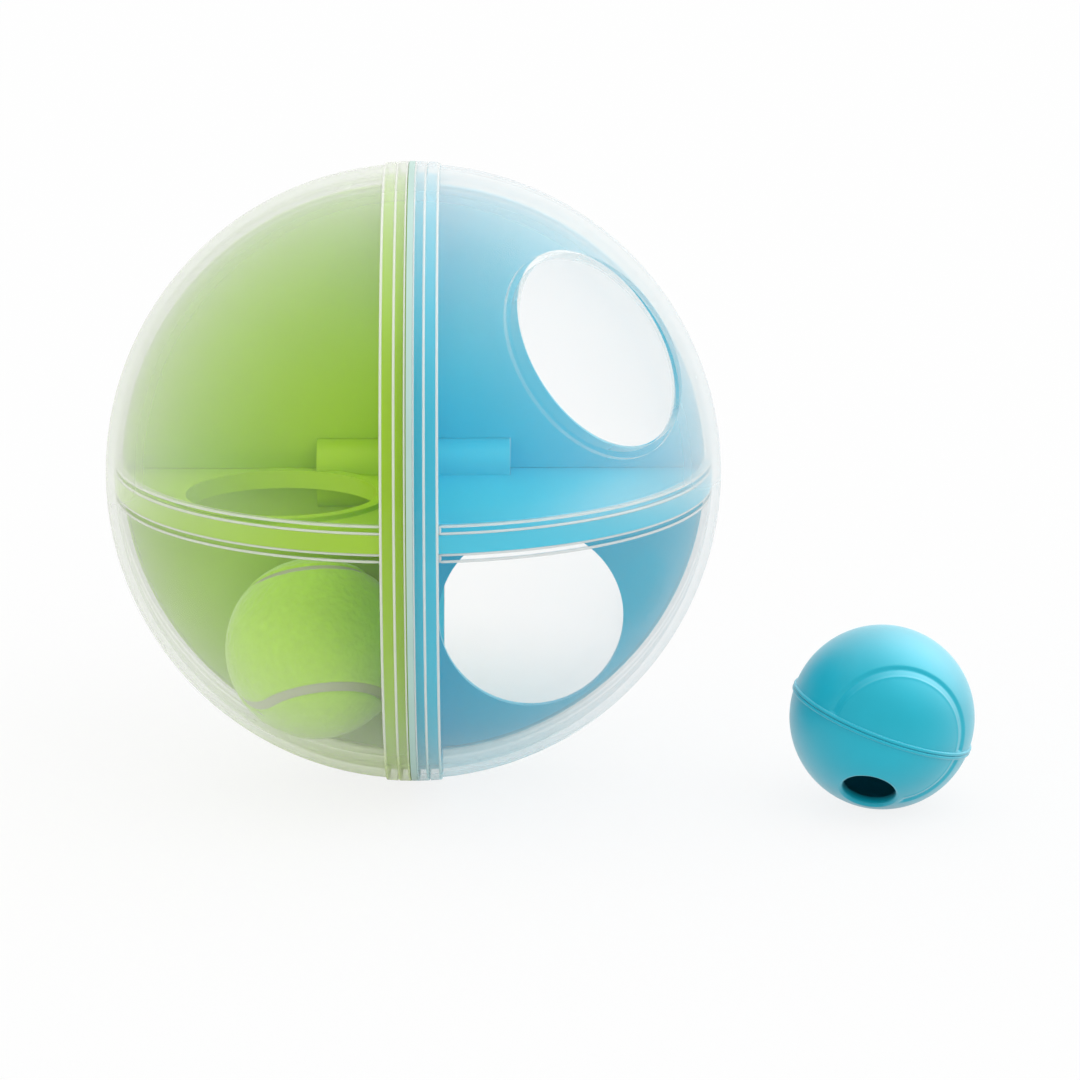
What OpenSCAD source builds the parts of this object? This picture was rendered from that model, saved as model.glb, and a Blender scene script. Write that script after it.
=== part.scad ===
// Treat maze ball: a see-through ball in two halves, parted inside by floors and walls into
// chambers that open into each other, with a tennis ball inside and a treat ball beside it.
// Millimetres, +Z up, +X towards the blue half. The origin is on the floor, under the
// middle of the maze ball, and the front of the ball looks along -Y.

/* [Maze ball] */
// Outer radius of the clear shells
ball_r = 107; // [100:0.5:115]
// Wall of the clear shells
shell_t = 3; // [2:0.1:4]
// Height of the clear ribs that hold the floors
floor_rib_h = 3.2; // [2.8:0.1:3.4]
// Height of the clear ribs that hold the cross walls
wall_rib_h = 3.6; // [3.5:0.1:4.2]
// Width of those ribs
rib_w = 2.8; // [2:0.1:4]

/* [Exit hole] */
// Radius of the exit hole in the right shell
exit_r = 35.5; // [33:0.5:38]
// Turn of the exit hole from the front of the ball, towards the right
exit_turn = 49; // [44:0.5:52]
// Lift of the exit hole above the floor
exit_lift = 33; // [30:0.5:38]
// Width of the lip around the exit hole, inside the shell
exit_lip_w = 2.4; // [1.5:0.1:4]
// Height of that lip
exit_lip_h = 1.5; // [0.8:0.1:2.5]

/* [Seam] */
// Width of the pale gasket between the halves
gasket_w = 2; // [1.4:0.1:4]
// Radial depth of the gasket below the shells' surface
gasket_t = 2.4; // [1.5:0.1:2.6]
// How far the gasket and the clear bands beside it stand out of the shells
seam_proud = 0.8; // [0.3:0.1:2]
// Width of the clear band along each half's edge
band_w = 8.3; // [6:0.1:12]
// Width of the groove along the middle of that band
band_groove_w = 0.8; // [0.4:0.1:1.5]
// Depth of that groove
band_groove_d = 0.6; // [0.3:0.1:1]
// Thickness of the wall that closes each half
seam_wall_t = 1.6; // [1.4:0.1:3]
// Reach of the coloured rim around that wall, under the clear band
seam_rim_w = 9.3; // [7:0.1:12]
// Thickness of that rim
seam_rim_t = 2.2; // [1.5:0.1:4]

/* [Floors and walls] */
// Thickness of the floors and the cross walls
panel_t = 3; // [2:0.1:4.5]
// Width of the floor's rim along the shell
floor_rim_w = 6.2; // [5:0.1:9]
// Radial depth of the floor's rim
floor_rim_t = 4.6; // [4.2:0.1:7]
// Gap between the cross walls' round edge and the shell
wall_gap = 2.6; // [1:0.1:3]

/* [Passages] */
// Gap between a floor passage's collar and the planes of the seam and the cross wall
passage_web = 7.5; // [4:0.5:9]
// Gap between a floor passage's collar and the floor's rim
passage_edge = 0.7; // [0.5:0.1:5]
// Width of the collar around a floor passage
collar_w = 4; // [2:0.1:4.5]
// Height of that collar above and below the floor
collar_h = 1.6; // [0.3:0.1:2]
// Width of the right floor's ledge behind the cross wall
ledge_w = 2.5; // [1:0.5:6]
// Gap between the lower wall passage and the plane of the seam
low_passage_web = 8.3; // [6:0.1:11]
// Gap between the lower wall passage and the wall's round edge
low_passage_edge = 2.5; // [2:0.1:5]
// Half the width of the oval window in the upper right wall
window_half_w = 22.3; // [15:0.1:26]
// Half the length of that window
window_half_l = 38.5; // [30:0.5:45]
// Gap between the window's long side and the wall's round edge
window_edge = 2.4; // [1.5:0.1:8]
// Distance of the window's middle from the ball's middle, along the window's length
window_shift = 5.2; // [0:0.1:8]
// Lean of the window's length from upright, away from the exit hole's side
window_lean = 30.5; // [25:0.5:40]

/* [Hub] */
// Outer radius of the hub sleeves
hub_r = 12.2; // [11:0.1:13]
// Reach of each hub from the middle of the ball
hub_len = 33.5; // [30:0.5:34]
// Thickness of the cap on each hub's end
cap_t = 2.5; // [1.5:0.1:4]
// Depth of the cap's plug in the hub's bore
cap_plug = 3; // [2:0.1:5]
// Radius of the axle that joins the two hubs
axle_r = 7.6; // [6:0.1:8]
// Radius of the snap collar that keeps the axle in the right hub
snap_r = 9; // [8.5:0.1:10]
// Width of the snap collar
snap_w = 3; // [2:0.1:4]
// Distance of the snap collar from the middle of the ball
snap_x = 18; // [12:0.5:20]

/* [Tennis ball] */
// Outer radius of the tennis ball
tennis_r = 31.5; // [29:0.5:32.5]
// Thickness of its felt
felt_t = 2.6; // [2:0.1:3.5]
// Wall of its rubber core
core_t = 3.3; // [2.5:0.1:5]
// Width of the rubber seam between its two felt panels
tennis_seam_w = 3.4; // [2.5:0.1:5]
// How far the seam lies below the felt
tennis_seam_sunk = 0.5; // [0.2:0.1:1]
// Turns of the ball about X, Y and Z that put its seam as it lies
tennis_turn = [25, -55, 102]; // [-180:1:180]

/* [Treat ball] */
// Outer radius of the treat ball
treat_r = 31.7; // [28:0.1:33]
// Wall of the treat ball
treat_wall = 3.5; // [3:0.1:6]
// Radius of the hole that lets treats out
treat_hole_r = 9.1; // [7:0.1:11]
// Angle of the hole below the treat ball's seam
treat_hole_lat = 44.5; // [35:0.5:60]
// Width of the plain margin around the hole
treat_hole_land = 3; // [2:0.5:5]
// Width of the rib along the treat ball's seam
treat_rib_w = 2.6; // [1.5:0.1:4]
// Height of that rib
treat_rib_h = 0.7; // [0.3:0.1:1.5]
// Angle between the middle of the ring groove and its outer edge
treat_ring_angle = 51.5; // [45:0.5:55]
// Width of the ring groove in the treat ball's front
treat_ring_w = 3.2; // [2:0.1:5]
// Depth of the ring groove
treat_ring_d = 0.5; // [0.3:0.1:1]
// Turn of the ring groove's middle from the treat ball's front
treat_ring_turn = 4; // [-20:1:20]
// Lean of the treat ball from upright, and the way that it leans
treat_lean = [19.5, 2.5]; // [0:0.5:90]
// Place of the treat ball on the floor, from the origin
treat_pos = [160.7, -46.3]; // [-200:0.1:200]

/* [Clearances] */
// Gap between pieces that are fixed to each other
fit_gap = 0.1; // [0.05:0.05:0.2]
// Gap between pieces that move against each other
run_gap = 0.3; // [0.2:0.05:0.5]

/* [Hidden] */

$fn = 96;

// Colours of the pieces
green = [0.56, 0.76, 0.27];
blue = [0.26, 0.67, 0.82];
clear = [0.90, 0.93, 0.94, 0.35];
pale = [0.88, 0.92, 0.90];
felt_green = [0.63, 0.79, 0.36];
seam_grey = [0.70, 0.72, 0.60];
rubber_grey = [0.35, 0.36, 0.34];
treat_blue = [0.18, 0.70, 0.80];

// The two halves, as the direction in which each lies along X
RIGHT = 1;
LEFT = -1;

// Larger than anything here, for cutting
far = 2 * (ball_r + seam_proud);

// Radii of the maze ball, and the height of its middle above the floor
shell_in = ball_r - shell_t;
proud_r = ball_r + seam_proud;
stand_z = proud_r;

// Places along X, from the seam outwards
disc_x0 = run_gap / 2;
disc_x1 = disc_x0 + seam_wall_t;
band_x0 = (gasket_w + run_gap) / 2;
band_x1 = band_x0 + band_w;
band_mid = (band_x0 + band_x1) / 2;
rim_x1 = disc_x0 + seam_rim_w;
rib_x0 = rim_x1 + fit_gap;

// What fits into the shells, the straight bores of the two rims and the edge of the cross walls
inner_r = shell_in - fit_gap;
seam_rim_in = inner_r - seam_rim_t;
floor_rim_in = shell_in - floor_rim_t;
wall_r = sqrt(pow(shell_in - wall_gap, 2) - pow(panel_t / 2, 2));

// The round passages: their collar's radius is the largest that leaves the gaps around it
collar_r = (floor_rim_in - passage_edge - passage_web * sqrt(2)) / (1 + sqrt(2));
passage_r = collar_r - collar_w;
passage_off = passage_web + collar_r;

// Middle of the lower wall passage, from the seam and from the floor
low_passage_x = low_passage_web + passage_r;
low_passage_z = sqrt(pow(wall_r - low_passage_edge - passage_r, 2) - pow(low_passage_x, 2));

// Distance of the oval window's middle from the ball's middle, across the window's length
window_d = wall_r - window_edge - window_half_w;

// The hub's bore, its groove and the axle's ends
bore_r = axle_r + run_gap;
axle_end = hub_len - cap_t - cap_plug - run_gap;

// Middle of the tennis ball, which touches the seam wall, the cross wall and the shell
tennis_x = disc_x1 + run_gap + tennis_r;
tennis_y = panel_t / 2 + run_gap + tennis_r;
tennis_d = shell_in - run_gap - tennis_r;
tennis_z = sqrt(pow(tennis_d, 2) - pow(tennis_x, 2) - pow(tennis_y, 2));

// Radius at which the felt ends and the rubber begins
felt_in = tennis_r - felt_t;

// Outer radius of the ring groove in the treat ball
treat_ring_r = treat_r * sin(treat_ring_angle);

// Moves the maze ball's pieces up onto the floor
module in_ball() translate([0, 0, stand_z]) children();

// Puts a piece that is drawn for the right half on either half
module on_side(side) mirror([side < 0 ? 1 : 0, 0, 0]) children();

// Puts a piece that is drawn above the floor above or below it
module on_level(up) mirror([0, 0, up ? 0 : 1]) children();

function half_colour(side) = side > 0 ? blue : green;

// A slab between two planes square to X
module slab_x(x0, x1) translate([x0, -far / 2, -far / 2]) cube([x1 - x0, far, far]);

// A slab of a given thickness about the middle, square to Y or Z
module slab_y(t) translate([-far / 2, -t / 2, -far / 2]) cube([far, t, far]);
module slab_z(t) translate([-far / 2, -far / 2, -t / 2]) cube([far, far, t]);

// A cylinder along X
module rod_x(r, x0, x1) translate([x0, 0, 0]) rotate([0, 90, 0]) cylinder(r = r, h = x1 - x0);

// The space between two spheres about the middle
module hollow_sphere(r_in, r_out) difference() {
    sphere(r_out);
    sphere(r_in);
}

// Turns a profile about X. In the profile, x is the radius and y is the place along X.
module turn_x() rotate([0, 90, 0]) rotate_extrude() children();

// The part of a round profile between two places along its axis, outside a straight bore
module round_profile(r_bore, r_out, at0, at1) intersection() {
    circle(r_out);
    translate([r_bore, at0]) square([r_out, at1 - at0]);
}

// A ring about X with round faces, between two radii and two planes
module band_x(x0, x1, r_in, r_out) turn_x() difference() {
    round_profile(0, r_out, x0, x1);
    circle(r_in);
}

// The room that the seam's rim takes up
module seam_room() difference() {
    rod_x(far, 0, rib_x0);
    rod_x(seam_rim_in - fit_gap, 0, rib_x0);
}

// The room that the hub and its cap take up
module hub_room() rod_x(hub_r + fit_gap, 0, hub_len + fit_gap);

// One clear half shell, with ribs inside beside the floor and the cross wall
module half_shell(side) color(clear) in_ball() on_side(side) difference() {
    union() {
        shell_blank();
        difference() {
            rib_pair(floor_rim_w / 2 + fit_gap, floor_rib_h);
            slab_y(panel_t + 2 * fit_gap);
            if (side == RIGHT) behind();
        }
        difference() {
            rotate([90, 0, 0]) rib_pair(panel_t / 2 + fit_gap, wall_rib_h);
            slab_z(floor_rim_w + 2 * fit_gap);
        }
        if (side == RIGHT) along_exit() exit_lip();
    }
    if (side == RIGHT) along_exit() cylinder(r = exit_r, h = far);
}

// A plain half shell, with the grooved band along its edge
module shell_blank() rotate([-135, 0, 0]) turn_x() difference() {
    union() {
        round_profile(0, ball_r, band_x0, ball_r);
        round_profile(0, proud_r, band_x0, band_x1);
    }
    circle(shell_in);
    translate([proud_r - band_groove_d, band_mid - band_groove_w / 2]) square([far, band_groove_w]);
}

// The space behind the cross walls
module behind() translate([-far / 2, 0, -far / 2]) cube(far);

// Two ribs of a given height along the shell, at a distance above and below the middle
module rib_pair(at, h) intersection() {
    for (turn = [0, 180]) rotate([turn, 0, 180]) rotate_extrude() difference() {
        round_profile(0, shell_in + h / 4, at, at + rib_w);
        circle(shell_in - h);
    }
    slab_x(rib_x0, far);
}

// Turns what is drawn along Z to point out of the exit hole
module along_exit() rotate([0, 0, exit_turn - 90]) rotate([0, 90 - exit_lift, 0]) children();

// The lip around the exit hole, drawn inwards past the hole's edge
module exit_lip() rotate_extrude() intersection() {
    difference() {
        circle(ball_r - shell_t / 2);
        circle(shell_in - exit_lip_h);
    }
    translate([exit_r - exit_lip_w, 0]) square([2 * exit_lip_w, far]);
}

// The coloured wall that closes a half, with its rim under the clear band
module seam_wall(side) color(half_colour(side)) in_ball() on_side(side) difference() {
    turn_x() {
        round_profile(0, inner_r, disc_x0, disc_x1);
        round_profile(seam_rim_in, inner_r, disc_x0, rim_x1);
    }
    rod_x(bore_r, 0, far);
    for (turn = [0, 180])
        rotate([turn, 0, 0]) translate([0, -passage_off, passage_off]) rod_x(passage_r, 0, hub_len);
}

// A floor with its rim along the shell, without its openings
module floor_blank() difference() {
    intersection() {
        rotate_extrude() {
            translate([0, -panel_t / 2]) square([floor_rim_in + fit_gap, panel_t]);
            round_profile(floor_rim_in, inner_r, -floor_rim_w / 2, floor_rim_w / 2);
        }
        slab_x(disc_x1 + fit_gap, far);
    }
    seam_room();
}

// The left floor, with a round passage and its collar in front of the cross wall and behind it
module left_floor() color(half_colour(LEFT)) in_ball() on_side(LEFT) difference() {
    union() {
        floor_blank();
        for (at = [-1, 1]) translate([passage_off, at * passage_off, 0])
            cylinder(r = collar_r, h = panel_t + 2 * collar_h, center = true);
    }
    for (at = [-1, 1]) translate([passage_off, at * passage_off, 0])
        cylinder(r = passage_r, h = far, center = true);
    hub_room();
}

// The right floor, which stays in front of the cross wall but for a ledge behind it
module right_floor() color(half_colour(RIGHT)) in_ball() difference() {
    floor_blank();
    hub_room();
    translate([-far / 2, panel_t / 2 + ledge_w, -far / 2]) cube(far);
}

// A quarter of the cross wall, without its passages, with room for the floor's rim
module wall_blank() difference() {
    intersection() {
        rotate([90, 0, 0]) cylinder(r = wall_r, h = panel_t, center = true);
        translate([disc_x1 + fit_gap, -far / 2, panel_t / 2 + fit_gap]) cube(far);
    }
    seam_room();
    hub_room();
    difference() {
        slab_z(floor_rim_w + 2 * fit_gap);
        cylinder(r = floor_rim_in - fit_gap, h = far, center = true);
    }
}

// A plain quarter of the cross wall
module plain_wall(side, up) color(half_colour(side)) in_ball() on_side(side) on_level(up) wall_blank();

// The upper right quarter, with a leaning oval window behind the exit hole
module windowed_wall() color(half_colour(RIGHT)) in_ball() difference() {
    wall_blank();
    rotate([90, -window_lean, 0]) translate([window_d, window_shift, -far / 2])
        linear_extrude(far) scale([window_half_w, window_half_l]) circle(1);
}

// The lower right quarter, with a round passage
module pierced_wall() color(half_colour(RIGHT)) in_ball() on_level(false) difference() {
    wall_blank();
    translate([low_passage_x, 0, low_passage_z]) rotate([90, 0, 0])
        cylinder(r = passage_r, h = far, center = true);
}

// The sleeve in the middle of a half. Only the right one has a groove for the snap collar.
module hub(side) color(half_colour(side)) in_ball() on_side(side) difference() {
    rod_x(hub_r, disc_x1, hub_len - cap_t);
    rod_x(bore_r, 0, far);
    if (side == RIGHT) rod_x(snap_r + run_gap, snap_x - run_gap, snap_x + snap_w + run_gap);
}

// The cap on a hub's end, with a plug in the bore
module hub_cap(side) color(half_colour(side)) in_ball() on_side(side) {
    rod_x(hub_r, hub_len - cap_t, hub_len);
    rod_x(bore_r - fit_gap, hub_len - cap_t - cap_plug, hub_len);
}

// The pale ring between the two shells, fixed to the right one
module gasket() color(pale) in_ball() band_x(run_gap - band_x0, band_x0, ball_r - gasket_t, proud_r);

// The axle on which the halves turn and pull apart
module axle() color(pale) in_ball() {
    rod_x(axle_r, -axle_end, axle_end);
    rod_x(snap_r, snap_x, snap_x + snap_w);
}

// Puts a piece of the tennis ball where the ball lies, in the lower left front chamber
module in_tennis_ball() in_ball() translate([-tennis_x, -tennis_y, -tennis_z]) rotate(tennis_turn) children();

// The seam's closed line is four half circles at 45 degrees on the ball, each about its own axis.
// They are drawn with a strip that stands square on the ball, from one radius to another.
module seam_strip(width, r_in, r_out) for (turn = [0 : 3])
    rotate([0, 0, 90 * turn]) rotate([0, 90, 0]) rotate([0, 0, turn % 2 == 0 ? 90 : -90])
        rotate_extrude(angle = 180) rotate(45) translate([r_in, -width / 2]) square([r_out - r_in, width]);

module tennis_core() color(rubber_grey) in_tennis_ball() hollow_sphere(felt_in - core_t, felt_in - fit_gap);

module tennis_felt() color(felt_green) in_tennis_ball() difference() {
    hollow_sphere(felt_in, tennis_r);
    seam_strip(tennis_seam_w + 2 * fit_gap, felt_in - felt_t, tennis_r + felt_t);
}

module tennis_seam() color(seam_grey) in_tennis_ball() intersection() {
    seam_strip(tennis_seam_w, felt_in - felt_t, tennis_r + felt_t);
    hollow_sphere(felt_in, tennis_r - tennis_seam_sunk);
}

// Puts a piece of the treat ball where the ball lies
module in_treat_ball() translate([treat_pos.x, treat_pos.y, treat_r])
    rotate([0, treat_lean[0], treat_lean[1]]) children();

// The hole in the treat ball, or the room for a wider cylinder along it
module treat_hole_rod(r) rotate([90 + treat_hole_lat, 0, 0]) cylinder(r = r, h = far);

// The ring groove in the treat ball's front, over its upper half and down the right of its lower half
module treat_groove(up) rotate([0, 0, treat_ring_turn]) rotate([90, 0, 0]) difference() {
    intersection() {
        cylinder(r = treat_ring_r, h = far);
        translate([up ? -far / 2 : 0, -far / 2, 0]) cube(far);
    }
    cylinder(r = treat_ring_r - treat_ring_w, h = far);
    sphere(treat_r - treat_ring_d);
}

// One half of the treat ball, with half of the seam's rib
module treat_half(up) color(treat_blue) in_treat_ball() difference() {
    intersection() {
        union() {
            sphere(treat_r);
            intersection() {
                sphere(treat_r + treat_rib_h);
                slab_z(treat_rib_w);
            }
        }
        translate([-far / 2, -far / 2, up ? 0 : -far]) cube(far);
    }
    sphere(treat_r - treat_wall);
    treat_hole_rod(treat_hole_r);
    difference() {
        treat_groove(up);
        slab_z(treat_rib_w);
        treat_hole_rod(treat_hole_r + treat_hole_land);
    }
}

half_shell(RIGHT);  // right_shell
seam_wall(RIGHT);  // right_seam_wall
right_floor();
windowed_wall();  // right_upper_wall
pierced_wall();  // right_lower_wall
hub(RIGHT);  // right_hub
hub_cap(RIGHT);  // right_hub_cap
gasket();  // seam_gasket
axle();  // hub_axle
half_shell(LEFT);  // left_shell
seam_wall(LEFT);  // left_seam_wall
left_floor();
plain_wall(LEFT, true);  // left_upper_wall
plain_wall(LEFT, false);  // left_lower_wall
hub(LEFT);  // left_hub
hub_cap(LEFT);  // left_hub_cap
tennis_core();  // tennis_ball_core
tennis_felt();  // tennis_ball_felt
tennis_seam();  // tennis_ball_seam
treat_half(true);  // treat_ball_upper
treat_half(false);  // treat_ball_lower
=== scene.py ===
"""Looks of the treat maze ball: its finishes, the ball's moulded lips, the two small balls and the stage."""

import math

import bmesh
import bpy
import numpy as np
from bpy.props import FloatProperty, FloatVectorProperty, IntProperty, PointerProperty
from mathutils import Euler, Matrix, Vector, noise


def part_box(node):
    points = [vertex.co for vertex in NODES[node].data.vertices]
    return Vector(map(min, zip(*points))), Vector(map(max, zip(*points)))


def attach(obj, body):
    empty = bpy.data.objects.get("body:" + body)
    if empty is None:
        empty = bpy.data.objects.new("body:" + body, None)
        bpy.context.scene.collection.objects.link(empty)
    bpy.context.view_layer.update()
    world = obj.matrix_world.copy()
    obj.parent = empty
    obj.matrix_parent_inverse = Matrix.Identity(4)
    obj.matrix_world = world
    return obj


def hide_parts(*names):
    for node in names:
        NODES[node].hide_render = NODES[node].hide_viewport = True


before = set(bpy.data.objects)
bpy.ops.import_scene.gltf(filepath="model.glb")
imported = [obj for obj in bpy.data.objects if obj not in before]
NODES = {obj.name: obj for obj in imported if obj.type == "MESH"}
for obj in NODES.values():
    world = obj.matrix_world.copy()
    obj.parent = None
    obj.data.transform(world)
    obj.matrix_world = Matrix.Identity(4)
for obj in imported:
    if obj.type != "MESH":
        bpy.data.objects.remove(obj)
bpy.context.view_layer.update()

bl_info = {
    "name": "Treat maze ball",
    "version": (1, 0, 0),
    "blender": (4, 5, 0),
    "location": "View3D > Sidebar > Maze ball",
    "description": "Dresses the solids of a treat maze ball and sets its stage",
    "category": "Object",
}

MM = 0.001
WHITE = (1, 1, 1, 1)

RIGHT = "right_half"
LEFT = "left_half"


def box_middle(*nodes):
    """The middle of the box round some CAD nodes."""
    low = np.min([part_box(node)[0] for node in nodes], axis=0)
    high = np.max([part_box(node)[1] for node in nodes], axis=0)
    return Vector((low + high) / 2)


# Places and radii that come from the frame
BALL_MIDDLE = box_middle("seam_gasket")
BALL_MIDDLE.x = 0
PROUD_R = (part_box("seam_gasket")[1].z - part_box("seam_gasket")[0].z) / 2
SHELL_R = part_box("right_shell")[1].x
FLOOR_RIM_Z = (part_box("right_floor")[1].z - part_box("right_floor")[0].z) / 2
TENNIS_MIDDLE = box_middle("tennis_ball_core")
TENNIS_R = (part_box("tennis_ball_felt")[1].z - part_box("tennis_ball_felt")[0].z) / 2
TREAT_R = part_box("treat_ball_upper")[1].z / 2
TREAT_MIDDLE = box_middle("treat_ball_upper", "treat_ball_lower")


class PaintedHighlightLipSizes(bpy.types.PropertyGroup):
    """Sizes of the white lips along the clear ribs, which are painted highlights on the ribs' edges."""

    lip_radius: FloatProperty(
        name="Lip radius", description="Radius of a lip's round edge",
        default=0.46 * MM, min=0.1 * MM, max=1.0 * MM, subtype="DISTANCE", unit="LENGTH")
    rib_width: FloatProperty(
        name="Rib width", description="Distance between the two lips of a rib",
        default=2.8 * MM, min=1 * MM, max=6 * MM, subtype="DISTANCE", unit="LENGTH")
    seam_x: FloatProperty(
        name="Seam lip",
        description="Distance of the thin lip along each clear band's inner edge from the seam",
        default=1.48 * MM, min=1 * MM, max=3 * MM, subtype="DISTANCE", unit="LENGTH")
    seam_lip_radius: FloatProperty(
        name="Seam lip radius", description="Radius of the thin lip along each clear band's inner edge",
        default=0.3 * MM, min=0.1 * MM, max=1.0 * MM, subtype="DISTANCE", unit="LENGTH")
    groove_x: FloatProperty(
        name="Inner lip", description="Distance of the lip in the middle of each clear band from the seam",
        default=4.9 * MM, min=2 * MM, max=8 * MM, subtype="DISTANCE", unit="LENGTH")
    band_x: FloatProperty(
        name="Outer lip", description="Distance of the lip along each clear band's edge from the seam",
        default=9.2 * MM, min=5 * MM, max=12 * MM, subtype="DISTANCE", unit="LENGTH")
    end_gap: FloatProperty(
        name="End gap", description="Gap between the closed end of a right rib and the clear band",
        default=0.9 * MM, min=0.0, max=4 * MM, subtype="DISTANCE", unit="LENGTH")
    shell_wall: FloatProperty(
        name="Shell wall", description="Thickness of the clear shells, which the ribs lie behind",
        default=3.0 * MM, min=1 * MM, max=6 * MM, subtype="DISTANCE", unit="LENGTH")


class TennisSizes(bpy.types.PropertyGroup):
    """Sizes of the tennis ball's felt and seam."""

    felt_sunk: FloatProperty(
        name="Felt sunk", description="How far the felt's ground lies below the ball's full radius",
        default=0.35 * MM, min=0.0, max=2 * MM, subtype="DISTANCE", unit="LENGTH")
    felt_bumps: FloatProperty(
        name="Felt bumps", description="Height of the felt's uneven nap",
        default=0.16 * MM, min=0.0, max=1 * MM, subtype="DISTANCE", unit="LENGTH")
    seam_width: FloatProperty(
        name="Seam width", description="Width of the rubber seam",
        default=4.2 * MM, min=1 * MM, max=6 * MM, subtype="DISTANCE", unit="LENGTH")
    seam_sunk: FloatProperty(
        name="Seam sunk", description="How far the seam lies below the felt",
        default=0.7 * MM, min=0.0, max=2 * MM, subtype="DISTANCE", unit="LENGTH")
    fibre_length: FloatProperty(
        name="Fibre length", description="Length of a loose felt fibre",
        default=1.1 * MM, min=0.2 * MM, max=3 * MM, subtype="DISTANCE", unit="LENGTH")
    fibres: IntProperty(
        name="Fibres", description="Number of loose felt fibres", default=9000, min=0, max=40000)


class TreatSizes(bpy.types.PropertyGroup):
    """Sizes of the treat ball's hole, rib and ring groove."""

    wall: FloatProperty(
        name="Wall", description="Thickness of the treat ball's wall",
        default=3.5 * MM, min=1 * MM, max=8 * MM, subtype="DISTANCE", unit="LENGTH")
    hole_radius: FloatProperty(
        name="Hole radius", description="Radius of the hole that lets treats out",
        default=9.1 * MM, min=4 * MM, max=14 * MM, subtype="DISTANCE", unit="LENGTH")
    hole_round: FloatProperty(
        name="Hole rounding", description="Radius of the hole's rounded mouth",
        default=1.2 * MM, min=0.1 * MM, max=3 * MM, subtype="DISTANCE", unit="LENGTH")
    hole_below: FloatProperty(
        name="Hole below seam", description="Angle of the hole below the treat ball's seam",
        default=math.radians(44.5), subtype="ANGLE", unit="ROTATION")
    rib_width: FloatProperty(
        name="Rib width", description="Width of the rib along the seam",
        default=2.6 * MM, min=1 * MM, max=5 * MM, subtype="DISTANCE", unit="LENGTH")
    rib_height: FloatProperty(
        name="Rib height", description="Height of the rib along the seam",
        default=0.7 * MM, min=0.1 * MM, max=2 * MM, subtype="DISTANCE", unit="LENGTH")
    ring_turn: FloatProperty(
        name="Ring turn", description="Turn of the ring groove's middle from the treat ball's front",
        default=math.radians(4), subtype="ANGLE", unit="ROTATION")
    ring_inner: FloatProperty(
        name="Ring inner edge", description="Angle from the ring groove's middle to its crisp inner edge",
        default=math.radians(43), subtype="ANGLE", unit="ROTATION")
    ring_bottom: FloatProperty(
        name="Ring bottom", description="Angle from the ring groove's middle to its deepest line",
        default=math.radians(48.2), subtype="ANGLE", unit="ROTATION")
    ring_outer: FloatProperty(
        name="Ring outer edge", description="Angle from the ring groove's middle to its soft outer edge",
        default=math.radians(51.5), subtype="ANGLE", unit="ROTATION")
    ring_depth: FloatProperty(
        name="Ring depth", description="Depth of the ring groove",
        default=0.7 * MM, min=0.0, max=2 * MM, subtype="DISTANCE", unit="LENGTH")
    lean: FloatProperty(
        name="Lean", description="Lean of the treat ball to its right",
        default=math.radians(19.5), subtype="ANGLE", unit="ROTATION")
    turn: FloatProperty(
        name="Turn", description="Turn of the treat ball about the upright",
        default=math.radians(2.5), subtype="ANGLE", unit="ROTATION")


class FinishColours(bpy.types.PropertyGroup):
    """Colours of the finishes, in linear light."""

    green: FloatVectorProperty(
        name="Green plastic", description="Colour of the green floors and walls",
        default=(0.385, 0.65, 0.012), size=3, min=0, max=1, subtype="COLOR")
    blue: FloatVectorProperty(
        name="Blue plastic", description="Colour of the blue floors and walls",
        default=(0.05, 0.58, 0.77), size=3, min=0, max=1, subtype="COLOR")
    milk: FloatVectorProperty(
        name="Milky haze", description="Colour of the haze in the clear shells",
        default=(0.97, 0.965, 0.94), size=3, min=0, max=1, subtype="COLOR")
    # Painted light: tints laid on the haze near the ground, standing in for light coloured by the green and
    # blue walls
    painted_green_bounce: FloatVectorProperty(
        name="Green haze", description="Colour of the haze near the ground, beside the green walls",
        default=(0.72, 0.95, 0.01), size=3, min=0, max=1, subtype="COLOR")
    painted_blue_bounce: FloatVectorProperty(
        name="Blue haze", description="Colour of the haze near the ground, beside the blue walls",
        default=(0.48, 0.96, 1.0), size=3, min=0, max=1, subtype="COLOR")
    felt: FloatVectorProperty(
        name="Felt", description="Colour of the tennis ball's felt",
        default=(0.50, 0.86, 0.04), size=3, min=0, max=1, subtype="COLOR")
    seam: FloatVectorProperty(
        name="Tennis seam", description="Colour of the tennis ball's rubber seam",
        default=(0.46, 0.49, 0.32), size=3, min=0, max=1, subtype="COLOR")
    treat: FloatVectorProperty(
        name="Treat ball", description="Colour of the treat ball's rubber",
        default=(0.0, 0.42, 0.55), size=3, min=0, max=1, subtype="COLOR")
    gasket: FloatVectorProperty(
        name="Gasket", description="Colour of the pale gasket and the axle",
        default=(0.44, 0.63, 0.57), size=3, min=0, max=1, subtype="COLOR")


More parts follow.
